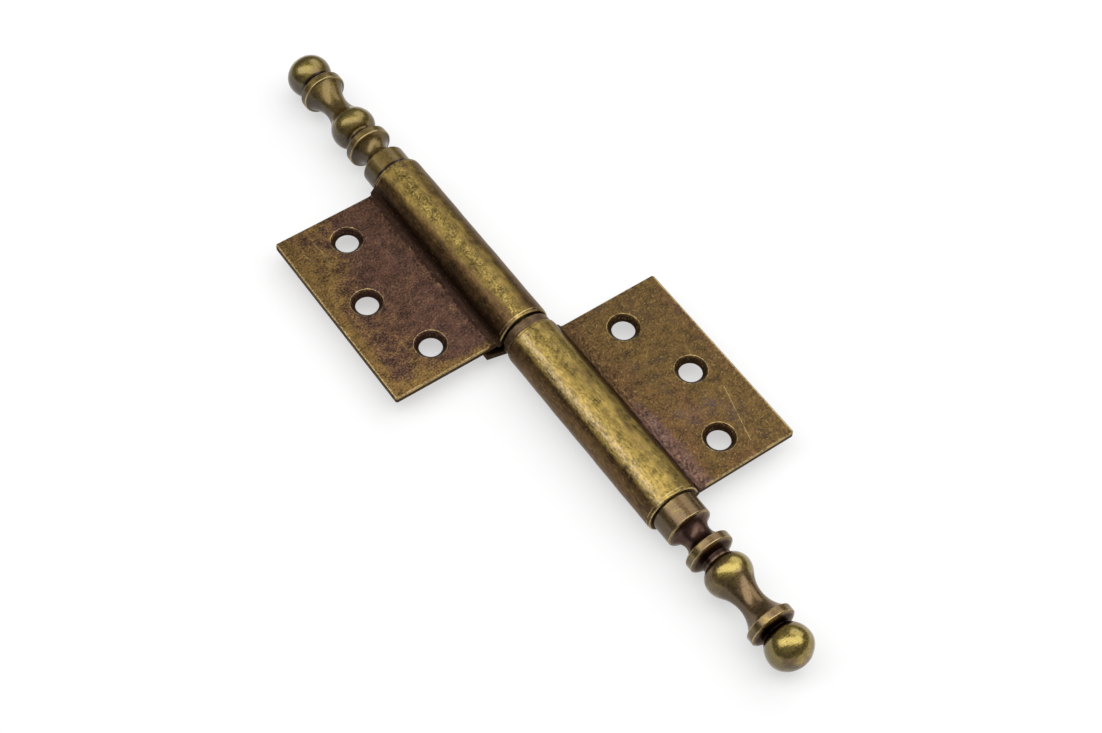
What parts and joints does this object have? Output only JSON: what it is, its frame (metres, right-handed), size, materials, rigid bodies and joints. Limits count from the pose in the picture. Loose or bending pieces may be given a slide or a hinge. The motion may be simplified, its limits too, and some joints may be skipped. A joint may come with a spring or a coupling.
{
  "type": "lift-off hinge",
  "caption": "Flag-type lift-off hinge in antique brass: two flat leaves with rolled knuckles on one pin, a bearing washer between them and turned vase and ball finials.",
  "frame": {"origin": "on the pin's axis in the middle of the joint, halfway between the two knuckles", "axes": "+Y along the pin towards the upper half, which lifts off; +X towards the lower half's leaf; +Z out of the front faces of the leaves, which lie open and flat"},
  "size_m": [0.0618, 0.1808, 0.012],
  "materials": {
    "antique_brass_sheet": "antique patina, worn at the edges",
    "antique_brass_turned": "antique patina, burnished on the high spots",
    "pin_steel": "ground",
    "washer_brass": "antique patina"
  },
  "bodies": {
    "lower_half": {"lower_leaf": "antique_brass_sheet", "hinge_pin": "pin_steel", "lower_finial": "antique_brass_turned"},
    "washer": {"bearing_washer": "washer_brass"},
    "upper_half": {"upper_leaf": "antique_brass_sheet", "upper_finial": "antique_brass_turned"}
  },
  "joints": [
    {"name": "swing", "type": "hinge", "parent": "lower_half", "child": "washer", "pos_m": [0, 0, 0], "axis": [0, 1, 0], "continuous": true},
    {"name": "lift_off", "type": "slide", "parent": "washer", "child": "upper_half", "axis": [0, 1, 0], "range_m": [-0.0005, 0.04]}
  ]
}
